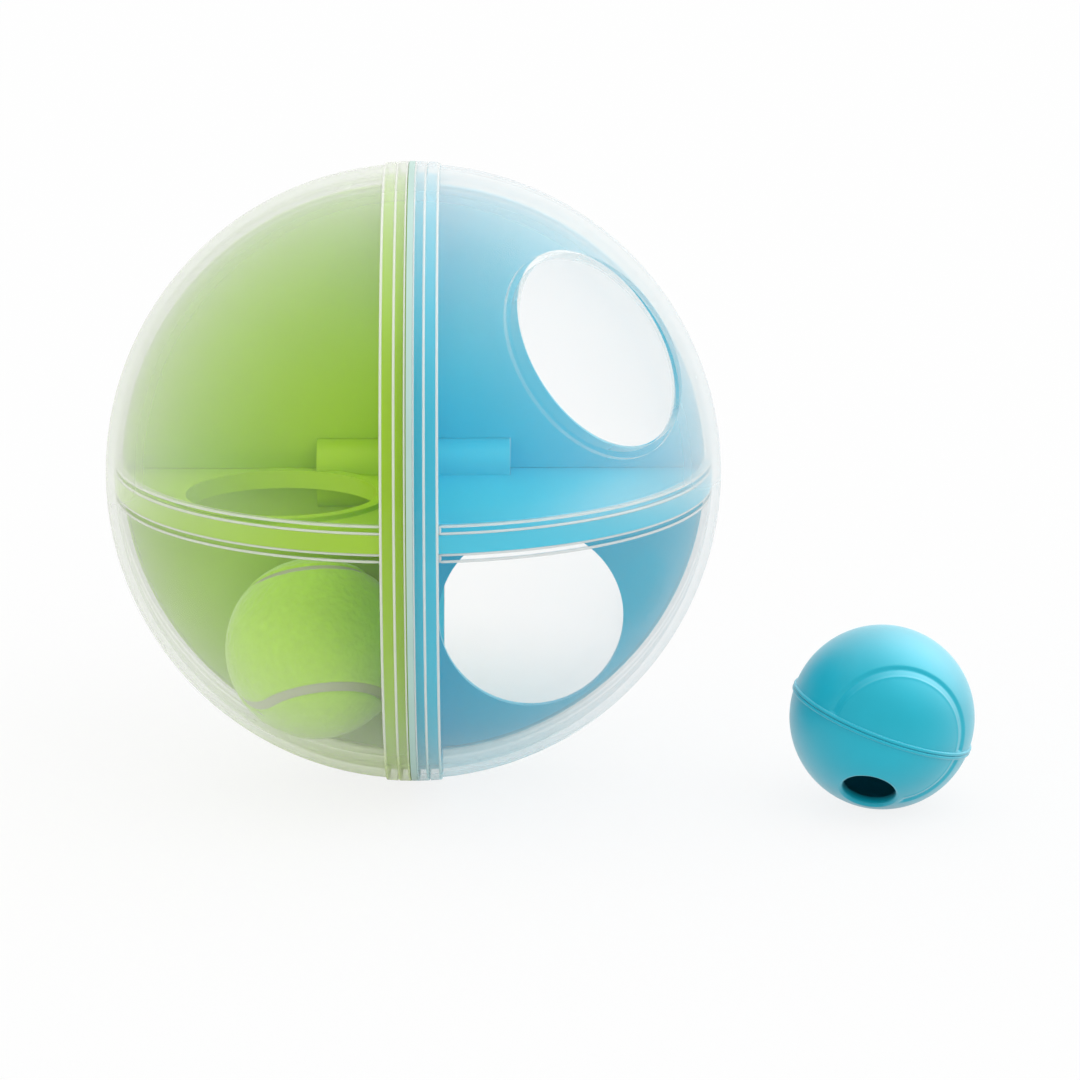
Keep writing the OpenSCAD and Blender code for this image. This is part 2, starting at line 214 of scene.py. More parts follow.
class StageSizes(bpy.types.PropertyGroup):
    """The camera and the light."""

    azimuth: FloatProperty(
        name="Azimuth", description="Turn of the camera round the ball from straight ahead",
        default=math.radians(1.0), subtype="ANGLE", unit="ROTATION")
    elevation: FloatProperty(
        name="Elevation", description="Height of the camera above the ball's middle",
        default=math.radians(13.4), subtype="ANGLE", unit="ROTATION")
    distance: FloatProperty(
        name="Distance", description="Distance of the camera from the ball's middle",
        default=1.498, min=0.3, subtype="DISTANCE", unit="LENGTH")
    lens: FloatProperty(
        name="Lens", description="Focal length of the camera on a 36 mm sensor, in millimetres",
        default=143.1, min=20, max=400)
    aim_right: FloatProperty(
        name="Aim right", description="How far right of the ball's middle the camera aims",
        default=43.8 * MM, subtype="DISTANCE", unit="LENGTH")
    aim_down: FloatProperty(
        name="Aim down", description="How far below the ball's middle the camera aims",
        default=24.3 * MM, subtype="DISTANCE", unit="LENGTH")
    sky_light: FloatProperty(
        name="Sky light", description="Strength of the light from all round, level with the ground",
        default=0.95, min=0)
    sky_rise: FloatProperty(
        name="Sky rise", description="How much stronger the light from straight above is",
        default=0.08, min=0)
    front_gloss: FloatProperty(
        name="Front gloss", description="Brightness of the studio's front, as glossy surfaces mirror it",
        default=0.15, min=0)
    box_gloss: FloatProperty(
        name="Soft box gloss",
        description="Brightness of the soft box at the upper right, as glossy surfaces mirror it",
        default=4.8, min=0)
    key_light: FloatProperty(
        name="Key light", description="Strength of the soft lamp from the upper right",
        default=0.4, min=0)


class Value:
    """A socket of a node tree, so that shader maths reads as an expression."""

    def __init__(self, graph, socket):
        self.graph = graph
        self.socket = socket

    def maths(self, operation, first, second):
        """A Math node on two values or numbers."""
        return self.graph.node("ShaderNodeMath", {"operation": operation}, {0: first, 1: second})["Value"]

    def __add__(self, other):
        return self.maths("ADD", self, other)

    def __radd__(self, other):
        return self.maths("ADD", other, self)

    def __sub__(self, other):
        return self.maths("SUBTRACT", self, other)

    def __rsub__(self, other):
        return self.maths("SUBTRACT", other, self)

    def __mul__(self, other):
        return self.maths("MULTIPLY", self, other)

    def __rmul__(self, other):
        return self.maths("MULTIPLY", other, self)

    def __pow__(self, other):
        return self.maths("POWER", self, other)

    def at_least(self, other):
        """The larger of two."""
        return self.maths("MAXIMUM", self, other)

    def at_most(self, other):
        """The smaller of two."""
        return self.maths("MINIMUM", self, other)


class Outlets:
    """The outputs of a node, by name."""

    def __init__(self, graph, made):
        self.graph = graph
        self.made = made

    def __getitem__(self, name):
        return Value(self.graph, self.made.outputs[name])


class Graph:
    """A node tree that is being written."""

    def __init__(self, tree):
        self.tree = tree
        tree.nodes.clear()

    def node(self, kind, settings=None, sockets=None):
        """Adds a node: its type, its settings, which are set first, and its sockets' values or links."""
        made = self.tree.nodes.new(kind)
        for name, value in (settings or {}).items():
            setattr(made, name, value)
        for name, value in (sockets or {}).items():
            if isinstance(value, Value):
                self.tree.links.new(value.socket, made.inputs[name])
            else:
                made.inputs[name].default_value = value
        return Outlets(self, made)

    def place(self):
        """Where a point of the surface is, in the object's own frame."""
        return self.node("ShaderNodeTexCoord")["Object"]

    def parts(self, vector):
        """The X, Y and Z of a vector."""
        return self.node("ShaderNodeSeparateXYZ", None, {"Vector": vector})

    def slant(self):
        """How far the surface slants away from the eye, from 0 facing it to 1 edge on."""
        return self.node("ShaderNodeLayerWeight", None, {"Blend": 0.5})["Facing"]

    def noise(self, scale, detail=3.0, roughness=0.5):
        """Cloudy values from 0 to 1, with scale in cycles per metre."""
        return self.node(
            "ShaderNodeTexNoise", None,
            {"Vector": self.place(), "Scale": scale, "Detail": detail, "Roughness": roughness})["Fac"]

    def rise(self, value, low, high):
        """A smooth step from 0 to 1 between two values."""
        return self.node(
            "ShaderNodeMapRange", {"interpolation_type": "SMOOTHSTEP"},
            {"Value": value, "From Min": low, "From Max": high})["Result"]

    def around(self, middle, spread, factor):
        """A number that goes from a spread below a middle to the same spread above it."""
        return middle - spread + 2 * spread * factor

    def tint(self, factor, first, second):
        """A colour between two others."""
        return self.node(
            "ShaderNodeMix", {"data_type": "RGBA"},
            {"Factor": factor, 6: first, 7: second})[2]

    def shades(self, factor, colour, darker, lighter):
        """A colour that goes from a darker to a lighter share of itself."""
        return self.tint(factor, rgba(colour, darker), rgba(colour, lighter))

    def bump(self, height, strength, distance):
        """A normal from a height."""
        return self.node(
            "ShaderNodeBump", None,
            {"Height": height, "Strength": strength, "Distance": distance})["Normal"]

    def shader(self, kind, sockets):
        """A shader of a surface."""
        return self.node("ShaderNodeBsdf" + kind, None, sockets)["BSDF"]

    def mixed(self, share, first, second):
        """A shader between two others."""
        return self.node("ShaderNodeMixShader", None, {0: share, 1: first, 2: second})["Shader"]


def rgba(colour, share=1.0):
    """A colour with alpha, made darker or lighter by a share."""
    return (*[min(1.0, channel * share) for channel in colour], 1.0)


def new_material(name):
    """An empty material and the graph of its nodes."""
    made = bpy.data.materials.new(name)
    made.use_nodes = True
    return made, Graph(made.node_tree)


def end_material(graph, surface):
    """Links a shader to the material's output."""
    graph.node("ShaderNodeOutputMaterial", None, {"Surface": surface})


# Zones of the clear shells: the widths over which they blend, and how far the lowest one reaches up
LEVEL_BLEND = 8 * MM
SEAM_BLEND = 2 * MM
REAR_BLEND = 4 * MM
GROUND_REACH = 40 * MM

# Shares of haze in a whole wall of a shell, facing the eye, edge on and near the ground
FACING_HAZE = 0.02
UPPER_EDGE_HAZE = 0.92
LOWER_SLANT_HAZE = 0.25
LOWER_EDGE_HAZE = 0.65
GROUND_HAZE = 0.4

# Shares of the way from the lower half's haze to the upper half's: what the upper half loses at the right
# rear, and what the lower half gains on the left
RIGHT_REAR_LOSS = 0.8
LOW_LEFT_GAIN = 0.55

# Haze of a lip, facing the eye and what it gains edge on; so thick a haze paints the lip white, as a
# highlight
PAINTED_HIGHLIGHT_LIP_HAZE = 0.86
LIP_EDGE_GAIN = 0.1

# Milky plastic: the haze that its clouds add, the light that glows through, and its shine
CLOUD_HAZE = 0.02
GLOW_SHARE = 0.25
FACING_SHINE = 0.004
EDGE_SHINE = 0.45
GROUND_SHINE_LOSS = 0.85
PLASTIC_SPECULAR = 0.25


def near_ground(graph, height):
    """Nearness to the ground that the ball stands on, from 1 there to 0 some way up."""
    return 1 - graph.rise(height, 0.0, GROUND_REACH)


def in_right_half(graph, x):
    """0 in the left half of the ball and 1 in the right one."""
    return graph.rise(x, -SEAM_BLEND, SEAM_BLEND)


def shell_haze(graph, slant):
    """The haze of a whole wall of a shell, which thickens as the wall slants away.

    There is more of it in the upper half, which is painted light standing in for haze lit from above. There
    is also more on the left, and some more near the ground.
    """
    parts = graph.parts(graph.place())
    # Painted light: the upper half gets the thicker, paler haze law, standing in for haze lit from above
    above = graph.rise(parts["Z"] - BALL_MIDDLE.z, -LEVEL_BLEND, LEVEL_BLEND)
    left = 1 - in_right_half(graph, parts["X"])
    rear = graph.rise(parts["Y"], -REAR_BLEND, REAR_BLEND)
    upper = FACING_HAZE + UPPER_EDGE_HAZE * slant ** 1.25
    lower = FACING_HAZE + LOWER_SLANT_HAZE * slant + LOWER_EDGE_HAZE * slant ** 6
    share = above * (1 - RIGHT_REAR_LOSS * rear * (1 - left)) + (1 - above) * LOW_LEFT_GAIN * left
    whole = lower + share * (upper - lower)
    return whole + GROUND_HAZE * near_ground(graph, parts["Z"]) * (1 - whole)


def painted_highlight_lip_haze(graph, slant):
    """The haze of a lip, which is nearly solid, so that the lip is a painted highlight."""
    return PAINTED_HIGHLIGHT_LIP_HAZE + LIP_EDGE_GAIN * slant


def milky_plastic(name, colours, haze_law):
    """Clear plastic with a haze in it, which a law gives for a whole wall from how the wall slants.

    Near the ground the haze is tinted with the colour of the walls beside it, as painted light coloured by
    those walls, and the shine fades, as painted shade for the shadowed floor that it would mirror there.
    """
    made, graph = new_material(name)
    parts = graph.parts(graph.place())
    low = near_ground(graph, parts["Z"])
    # Painted light: a green or blue tint near the ground that stands in for light coloured by the walls
    # beside it
    beside = graph.tint(
        in_right_half(graph, parts["X"]), rgba(colours.painted_green_bounce), rgba(colours.painted_blue_bounce))
    slant = graph.slant()
    cloud = graph.noise(scale=38.0, detail=4.0)
    # A line of sight crosses both faces of a wall, so each face is as clear as the root of the whole
    haze = 1 - (1 - haze_law(graph, slant) - CLOUD_HAZE * cloud) ** 0.5
    body = graph.shader("Principled", {
        "Base Color": graph.tint(low, rgba(colours.milk), beside),
        "Roughness": graph.around(0.26, spread=0.04, factor=cloud),
        "Specular IOR Level": PLASTIC_SPECULAR,
        "Normal": graph.bump(cloud, strength=0.02, distance=0.2 * MM)})
    glow = graph.shader("Translucent", {"Color": rgba(colours.milk)})
    milk = graph.mixed(GLOW_SHARE, body, glow)
    hazy = graph.mixed(haze, graph.shader("Transparent", {"Color": WHITE}), milk)
    gloss = graph.shader("Glossy", {"Color": WHITE, "Roughness": 0.06})
    # Painted shade: the shine fades near the ground, standing in for the shadowed floor it would mirror there
    shine = (FACING_SHINE + EDGE_SHINE * slant ** 5) * (1 - GROUND_SHINE_LOSS * low)
    end_material(graph, graph.mixed(shine, hazy, gloss))
    return made


def moulded_plastic(name, colour):
    """Coloured moulded plastic with faint flow clouds and a fine satin grain."""
    made, graph = new_material(name)
    flow = graph.noise(scale=24.0, detail=4.0, roughness=0.55)
    grain = graph.noise(scale=1600.0, detail=2.0)
    end_material(graph, graph.shader("Principled", {
        "Base Color": graph.shades(flow, colour, darker=0.93, lighter=1.06),
        "Roughness": graph.around(0.38, spread=0.06, factor=grain),
        "Specular IOR Level": PLASTIC_SPECULAR,
        "Normal": graph.bump(grain, strength=0.04, distance=0.1 * MM)}))
    return made


def soft_rubber(name, colour, roughness=0.42, sheen=0.0):
    """Moulded rubber with a soft bloom and a fine grain, and a dusty sheen along its edges if it has any."""
    made, graph = new_material(name)
    bloom = graph.noise(scale=55.0, detail=4.0, roughness=0.6)
    grain = graph.noise(scale=1400.0)
    surface = graph.shader("Principled", {
        "Base Color": graph.shades(bloom, colour, darker=0.92, lighter=1.08),
        "Roughness": graph.around(roughness, spread=0.05, factor=bloom),
        "Specular IOR Level": 0.5,
        "Normal": graph.bump(grain, strength=0.05, distance=0.15 * MM)})
    if sheen:
        dust = graph.shader("Glossy", {"Color": WHITE, "Roughness": 0.45})
        surface = graph.mixed(sheen * graph.slant() ** 2, surface, dust)
    end_material(graph, surface)
    return made


def woolly_felt(name, colour):
    """Felt of matted wool and nylon, darker in the hollows between the tufts as painted shade."""
    made, graph = new_material(name)
    tuft = graph.noise(scale=420.0, detail=5.0, roughness=0.65)
    patch = graph.noise(scale=70.0)
    # Painted shade and light: the tuft clouds that raise the bumps also darken the hollows and lighten the
    # tops
    ground = graph.shades(tuft, colour, darker=0.72, lighter=1.18)
    end_material(graph, graph.shader("Principled", {
        "Base Color": graph.tint(0.35 * patch, ground, rgba(colour, share=0.9)),
        "Roughness": 0.95,
        "Specular IOR Level": 0.15,
        "Sheen Weight": 0.6,
        "Sheen Roughness": 0.4,
        "Normal": graph.bump(tuft, strength=0.7, distance=0.6 * MM)}))
    return made


def mesh_object(name, points, faces, smooth=True):
    """A new mesh object from points in metres and faces."""
    data = bpy.data.meshes.new(name)
    data.from_pydata([tuple(point) for point in points], [], faces)
    data.update()
    if smooth:
        data.polygons.foreach_set("use_smooth", [True] * len(data.polygons))
    made = bpy.data.objects.new(name, data)
    bpy.context.scene.collection.objects.link(made)
    return made


def unit_rows(rows):
    """Rows of an array, each scaled to a length of 1."""
    return rows / np.linalg.norm(rows, axis=1)[:, None]


def full_turn(steps):
    """Angles spread evenly over a full turn."""
    return np.linspace(0, 2 * math.pi, steps, endpoint=False)


def headings(path):
    """Unit vectors along a closed path."""
    return unit_rows(np.roll(path, -1, 0) - np.roll(path, 1, 0))


def ring_faces(rings, width, closed=True):
    """Quads between each ring of points and the next, and from the last to the first if they are closed."""
    faces = []
    for ring in range(rings if closed else rings - 1):
        nearer, further = ring * width, (ring + 1) % rings * width
        for at in range(width):
            beside = (at + 1) % width
            faces.append((nearer + at, nearer + beside, further + beside, further + at))
    return faces


def unit_ball(subdivisions):
    """Points and faces of a ball of radius 1."""
    ball = bmesh.new()
    bmesh.ops.create_icosphere(ball, subdivisions=subdivisions, radius=1.0)
    points = np.array([vert.co for vert in ball.verts])
    faces = [tuple(vert.index for vert in face.verts) for face in ball.faces]
    ball.free()
    return unit_rows(points), faces


def swept_tube(path, radius, middle, sides=10):
    """Points and faces of a round tube along a closed path round a middle, in metres."""
    ahead = headings(path)
    outward = path - np.array(middle)
    outward = unit_rows(outward - (outward * ahead).sum(1)[:, None] * ahead)
    across = np.cross(ahead, outward)
    rings = [
        path + radius * (math.cos(turn) * outward + math.sin(turn) * across) for turn in full_turn(sides)]
    return np.stack(rings, 1).reshape(-1, 3), ring_faces(len(path), sides)


def joined(parts):
    """One list of points and faces from several."""
    points, faces, start = [], [], 0
    for part_points, part_faces in parts:
        points.extend(part_points)
        faces.extend(tuple(corner + start for corner in face) for face in part_faces)
        start += len(part_points)
    return points, faces


def circle_about_x(x, radius, steps=256):
    """A closed circle on the ball at a place along X."""
    turns = full_turn(steps)
    ring = math.sqrt(radius ** 2 - x ** 2)
    flat = np.stack([np.full(steps, x), ring * np.cos(turns), ring * np.sin(turns)], 1)
    return flat + np.array(BALL_MIDDLE)


# Turn about the upright by which a rib that runs along the front only stops short of the cross wall
FRONT_RIB_END = 0.02


def rib_outline(side, level, low, high, start_x, radius, front_only, steps=180):
    """The closed outline of a rib on one half, between two heights above or below the floor."""
    lines = []
    for height in (low, high):
        ring = math.sqrt(radius ** 2 - height ** 2)
        reach = math.acos(start_x / ring)
        turns = np.linspace(-reach, -FRONT_RIB_END if front_only else reach, steps)
        lines.append(np.stack([
            side * ring * np.cos(turns), ring * np.sin(turns), np.full(steps, level * height)], 1))
    outline = np.concatenate([lines[0], lines[1][::-1]])
    return outline + np.array(BALL_MIDDLE)


def assign(node_names, material):
    """Gives CAD nodes a finish."""
    for name in node_names:
        data = NODES[name].data
        data.materials.clear()
        data.materials.append(material)
        data.polygons.foreach_set("material_index", [0] * len(data.polygons))


def settings():
    """The add-on's settings on the scene."""
    return bpy.context.scene.maze_ball


class MazeBallSettings(bpy.types.PropertyGroup):
    """All the settings of the maze ball."""

    lips: PointerProperty(type=PaintedHighlightLipSizes)
    tennis: PointerProperty(type=TennisSizes)
    treat: PointerProperty(type=TreatSizes)
    colours: PointerProperty(type=FinishColours)
    stage: PointerProperty(type=StageSizes)


class MAZEBALL_OT_clear_shells(bpy.types.Operator):
    """Give the clear shells their milky finish"""

    bl_idname = "mazeball.clear_shells"
    bl_label = "Clear shells"

    def execute(self, context):
        milky = milky_plastic("milky_clear_plastic", settings().colours, shell_haze)
        assign(["left_shell", "right_shell"], milky)
        return {"FINISHED"}


class MAZEBALL_OT_chamber_walls(bpy.types.Operator):
    """Give the floors, walls and hubs their green and blue finishes"""

    bl_idname = "mazeball.chamber_walls"
    bl_label = "Floors and walls"

    def execute(self, context):
        colours = settings().colours
        for side, colour in (("left", colours.green), ("right", colours.blue)):
            finish = moulded_plastic(side + "_moulded_plastic", colour)
            kinds = ("_floor", "_wall", "_hub", "_hub_cap")
            assign([name for name in NODES if name.startswith(side) and name.endswith(kinds)], finish)
        return {"FINISHED"}


class MAZEBALL_OT_seam(bpy.types.Operator):
    """Give the gasket and the axle their finishes"""

    bl_idname = "mazeball.seam"
    bl_label = "Gasket and axle"

    def execute(self, context):
        colours = settings().colours
        assign(["seam_gasket"], soft_rubber("pale_gasket_rubber", colours.gasket))
        assign(["hub_axle"], moulded_plastic("pale_axle_plastic", colours.gasket))
        return {"FINISHED"}


class MAZEBALL_OT_painted_highlight_lips(bpy.types.Operator):
    """Add white lips along the ribs and the clear bands, which are painted highlights on their edges"""

    bl_idname = "mazeball.lips"
    bl_label = "Moulded lips"

    def execute(self, context):
        sizes = settings().lips
        # Painted highlights: white beads that stand in for the light caught by the edges of the ribs and the
        # clear bands
        finish = milky_plastic("painted_highlight_lip_plastic", settings().colours, painted_highlight_lip_haze)
        rims = (
            (sizes.seam_x, sizes.seam_lip_radius),
            (sizes.groove_x, sizes.lip_radius),
            (sizes.band_x, sizes.lip_radius))
        for body, side, gap in ((RIGHT, 1, sizes.end_gap), (LEFT, -1, 0.0)):
            parts = []
            for x, radius in rims:
                parts.append(swept_tube(circle_about_x(side * x, PROUD_R - radius), radius, BALL_MIDDLE))
            for level in (1, -1):
                outline = rib_outline(
                    side, level, FLOOR_RIM_Z + sizes.lip_radius, FLOOR_RIM_Z + sizes.rib_width,
                    sizes.band_x + gap, SHELL_R - sizes.shell_wall - sizes.lip_radius, side > 0)
                parts.append(swept_tube(outline, sizes.lip_radius, BALL_MIDDLE))
            lips = mesh_object(body + "_lips", *joined(parts))
            lips.data.materials.append(finish)
            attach(lips, body)
        return {"FINISHED"}


# Turns of the tennis ball about X, Y and Z, as it lies
TENNIS_TURN = Euler([math.radians(angle) for angle in (25, -55, 102)], "XYZ").to_matrix()

# Nap of the felt: its coarse and fine waves per radius, and the share of the fine ones
NAP_COARSE = 22
NAP_FINE = 55
NAP_FINE_SHARE = 0.6

# Edge of the felt along the seam, which rolls down, and the low bead beside it
EDGE_WIDTH = 0.9 * MM
EDGE_DROP = 1.6 * MM
EDGE_NAP = 0.4
BEAD_HEIGHT = 0.12 * MM
BEAD_OFF_SEAM = 1.0 * MM
BEAD_WIDTH = 0.8 * MM

# Loose fibres of the felt: where they root, how wide they are and how they lean and rise
FIBRE_SEED = 7
FIBRE_OFF_SEAM = 0.2 * MM
FIBRE_ROOT = 0.1 * MM
FIBRE_HALF_WIDTH = 0.05 * MM
FIBRE_LEAN = 0.8
FIBRE_LEAST_RISE = 0.3
FIBRE_MORE_RISE = 0.25

# Section of the rubber seam: how far it reaches under the felt, the height of its crown, and shares of its
# half width with their heights from there to its root
SEAM_UNDER_FELT = 0.3 * MM
SEAM_CROWN = 0.16 * MM
SEAM_SIDE = ((0.45, 0.12 * MM), (0.9, 0.0), (1, -1.2 * MM))
SEAM_STEPS = 64


class MAZEBALL_OT_tennis_ball(bpy.types.Operator):
    """Make the tennis ball, with its felt, loose fibres and rubber seam"""

    bl_idname = "mazeball.tennis_ball"
    bl_label = "Tennis ball"

    def execute(self, context):
        sizes = settings().tennis
        colours = settings().colours
        felt = self.felt_ball(sizes)
        felt.data.materials.append(woolly_felt("tennis_felt", colours.felt))
        seam = self.seam_band(sizes)
        seam.data.materials.append(soft_rubber("tennis_seam_rubber", colours.seam, roughness=0.6))
        for piece, slot in ((felt, "green_felt"), (seam, "seam_rubber")):
            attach(piece, "tennis_ball")
        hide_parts("tennis_ball_felt", "tennis_ball_core")
        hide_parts("tennis_ball_seam")
        return {"FINISHED"}

    @staticmethod
    def seam_distance(points):
        """Angle from each point of a unit ball to the seam, above zero on one felt panel."""
        x, y = np.abs(np.clip(points[:, :2], -1, 1)).T
        return np.where(points[:, 2] >= 0, np.arccos(x) - math.pi / 4, math.pi / 4 - np.arccos(y))

    def placed(self, points):
        """Points of the ball's own frame where the ball lies."""
        return points @ np.array(TENNIS_TURN).T + np.array(TENNIS_MIDDLE)

    def felt_ball(self, sizes):
        """The felt, with an uneven nap and edges that roll down into the seam, and its loose fibres."""
        unit, faces = unit_ball(subdivisions=7)
        ground = TENNIS_R - sizes.felt_sunk
        nap = np.array([
            noise.noise(Vector(point) * NAP_COARSE) + NAP_FINE_SHARE * noise.noise(Vector(point) * NAP_FINE)
            for point in unit])
        off = np.abs(self.seam_distance(unit)) * ground - sizes.seam_width / 2
        edge = np.clip(off / EDGE_WIDTH, -1, 1)
        bead = BEAD_HEIGHT * np.exp(-((off - BEAD_OFF_SEAM) / BEAD_WIDTH) ** 2)
        roll = np.where(edge < 0, edge * EDGE_DROP, 0) + bead
        radius = ground + sizes.felt_bumps * nap * np.clip(edge + EDGE_NAP, 0, 1) + roll
        points = self.placed(unit * radius[:, None])
        strands = self.placed(self.fibres(sizes, unit, radius, off))
        start = len(points)
        threads = [(start + at, start + at + 1, start + at + 2) for at in range(0, len(strands), 3)]
        return mesh_object("tennis_felt", np.concatenate([points, strands]), faces + threads)

    def fibres(self, sizes, unit, radius, off):
        """Points of the loose fibres, each a thin triangle with two at its root and one at its tip."""
        picks = np.random.default_rng(FIBRE_SEED)
        chosen = picks.choice(len(unit), size=sizes.fibres * 2, replace=False)
        chosen = chosen[off[chosen] > FIBRE_OFF_SEAM][:sizes.fibres]
        up = unit[chosen]
        root = up * (radius[chosen] - FIBRE_ROOT)[:, None]
        lean = picks.normal(size=root.shape)
        lean = unit_rows(lean - (lean * up).sum(1)[:, None] * up)
        side = np.cross(up, lean) * FIBRE_HALF_WIDTH
        rise = FIBRE_LEAST_RISE + FIBRE_MORE_RISE * picks.random(len(root))[:, None]
        tip = root + sizes.fibre_length * (lean * FIBRE_LEAN + up * rise)
        return np.stack([root - side, root + side, tip], 1).reshape(-1, 3)

    def seam_band(self, sizes):
        """The rubber seam: a band along four half circles on the ball."""
        path = []
        for quarter in range(4):
            turn = Matrix.Rotation(quarter * math.pi / 2, 3, "Z")
            up = 1 if quarter % 2 == 0 else -1
            for step in range(SEAM_STEPS):
                angle = math.pi * step / SEAM_STEPS
                path.append(turn @ Vector((1, -math.cos(angle), up * math.sin(angle))).normalized())
        path = np.array(path)
        across = np.cross(headings(path), path)
        radius = TENNIS_R - sizes.felt_sunk - sizes.seam_sunk
        half = sizes.seam_width / 2 + SEAM_UNDER_FELT
        other_side = [(-share, rise) for share, rise in reversed(SEAM_SIDE)]
        profile = [*other_side, (0.0, SEAM_CROWN), *SEAM_SIDE]
        rings = [path * (radius + rise) + across * half * share for share, rise in profile]
        points = self.placed(np.stack(rings, 1).reshape(-1, 3))
        return mesh_object("tennis_seam", points, ring_faces(len(path), len(profile)))


# Fineness of the treat ball's mesh: steps along the rib and round each of its beads, columns round the hole's
# axis, and rings outside, over the rounded mouth and inside
RIB_STEPS = 300
RIB_SIDES = 14
SKIN_COLUMNS = 520
OUTER_RINGS = 400
MOUTH_RINGS = 8
INNER_RINGS = 60

# Angles at which the outer and the inner skin stop short of the far end of the hole's axis, and are capped
OUTER_END = 0.004
INNER_END = 0.01

# Ring groove: the low ridge along its inner edge, and how it fades beside the hole, beside the rib and, below
# the rib, towards the left
RIDGE_HEIGHT = 0.12 * MM
RIDGE_SPREAD = math.radians(0.9)
HOLE_MARGIN = 2.5 * MM
HOLE_FADE = 2 * MM
RIB_FADE = 0.6 * MM
LEFT_FADE = 6


class MAZEBALL_OT_treat_ball(bpy.types.Operator):
    """Make the treat ball, with its rounded hole, the rib along its seam and its ring groove"""

    bl_idname = "mazeball.treat_ball"
    bl_label = "Treat ball"

    def execute(self, context):
        sizes = settings().treat
        turn = np.array(Euler((0, sizes.lean, sizes.turn), "XYZ").to_matrix())
        ball = mesh_object("treat_ball", *joined([self.skin(sizes, turn), *self.rib(sizes, turn)]))
        ball.data.materials.append(soft_rubber("treat_ball_rubber", settings().colours.treat, sheen=0.3))
        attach(ball, "treat_ball")
        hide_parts("treat_ball_upper", "treat_ball_lower")
        return {"FINISHED"}

    def rib(self, sizes, turn):
        """The two beads of the rib along the seam."""
        bead = sizes.rib_width / 4
        out = TREAT_R + sizes.rib_height - bead
        turns = full_turn(RIB_STEPS)
        beads = []
        for height in (bead, -bead):
            path = np.stack([out * np.cos(turns), out * np.sin(turns), np.full(RIB_STEPS, height)], 1)
            path = path @ turn.T + np.array(TREAT_MIDDLE)
            beads.append(swept_tube(path, bead, TREAT_MIDDLE, RIB_SIDES))
        return beads

    def hole_axis(self, sizes):
        """The way out through the hole."""
        return np.array([0, -math.cos(sizes.hole_below), -math.sin(sizes.hole_below)])

    def skin(self, sizes, turn):
        """The ball's skin, as rings about the hole's axis from the far end to the hole and back inside."""
        axis = self.hole_axis(sizes)
        side = np.array([1.0, 0, 0])
        turns = full_turn(SKIN_COLUMNS)
        spokes = np.outer(np.cos(turns), side) + np.outer(np.sin(turns), np.cross(axis, side))
        out, along, raised = self.profile(sizes)
        points = out[:, None, None] * spokes + (along[:, None] * axis)[:, None, :]
        points = points.reshape(-1, 3)
        unit = unit_rows(points)
        rise = self.relief(unit, sizes) * np.repeat(raised, SKIN_COLUMNS)
        points = (points + unit * rise[:, None]) @ turn.T + np.array(TREAT_MIDDLE)
        faces = ring_faces(len(out), SKIN_COLUMNS, closed=False)
        faces.append(tuple(range(SKIN_COLUMNS))[::-1])
        faces.append(tuple(range(len(points) - SKIN_COLUMNS, len(points))))
        return points, faces

    def profile(self, sizes):
        """Distances out from and along the hole's axis, and where the outer relief applies."""
        mouth = sizes.hole_radius + sizes.hole_round
        inner = TREAT_R - sizes.wall
        outer_turns = np.linspace(math.pi - OUTER_END, math.asin(mouth / TREAT_R), OUTER_RINGS)
        outer = np.stack([TREAT_R * np.sin(outer_turns), TREAT_R * np.cos(outer_turns)], 1)
        bend = np.linspace(0, math.pi / 2, MOUTH_RINGS + 1)[1:]
        lip = np.stack([
            mouth - sizes.hole_round * np.sin(bend),
            outer[-1, 1] - sizes.hole_round * (1 - np.cos(bend))], 1)
        inner_turns = np.linspace(math.asin(sizes.hole_radius / inner), math.pi - INNER_END, INNER_RINGS)
        within = np.stack([inner * np.sin(inner_turns), inner * np.cos(inner_turns)], 1)
        whole = np.concatenate([outer, lip, within])
        raised = np.zeros(len(whole))
        raised[:len(outer)] = 1
        return whole[:, 0], whole[:, 1], raised

    def relief(self, unit, sizes):
        """Height of the low ridge along the ring groove's inner edge, less the depth of the groove."""
        up = unit[:, 2] * TREAT_R
        front = np.array([math.sin(sizes.ring_turn), -math.cos(sizes.ring_turn), 0])
        right = np.array([math.cos(sizes.ring_turn), math.sin(sizes.ring_turn), 0])
        angle = np.arccos(np.clip(unit @ front, -1, 1))
        inner_bank = np.clip((angle - sizes.ring_inner) / (sizes.ring_bottom - sizes.ring_inner), 0, 1)
        outer_bank = np.clip((sizes.ring_outer - angle) / (sizes.ring_outer - sizes.ring_bottom), 0, 1)
        depth = sizes.ring_depth * np.minimum(inner_bank, outer_bank * outer_bank * (3 - 2 * outer_bank))
        ridge = RIDGE_HEIGHT * np.exp(-((angle - sizes.ring_inner) / RIDGE_SPREAD) ** 2)
        off_hole = np.arccos(np.clip(unit @ self.hole_axis(sizes), -1, 1)) * TREAT_R - sizes.hole_radius
        kept = np.clip((off_hole - HOLE_MARGIN) / HOLE_FADE, 0, 1)
        shown = np.where(up > 0, 1.0, np.clip((unit @ right) * LEFT_FADE, 0, 1))
        clear_of_rib = np.clip((np.abs(up) - sizes.rib_width / 2) / RIB_FADE, 0, 1)
        return (ridge - depth) * kept * shown * clear_of_rib


# Floor: half its width in metres, its colour, and the share of plain white in what the camera sees of it
FLOOR_HALF = 6.0
FLOOR_GREY = (0.86, 0.86, 0.86, 1)
FLOOR_WHITE = 0.85

# Way that the lamp's light travels, and the width of the lamp in the sky
LAMP_TRAVEL = Vector((-0.45, 0.4, -1.0))
LAMP_WIDTH = math.radians(50)

# Studio as glossy surfaces mirror it: the way to the soft box, how narrow it is, and where along Y the dim
# front begins to brighten and the white back begins
BOX_TOWARDS = Vector((0.56, 0.06, 0.82)).normalized()
BOX_FOCUS = 4
FRONT_Y = -0.7
BACK_Y = 0.2

# Width of the camera's sensor in millimetres
SENSOR_WIDTH = 36


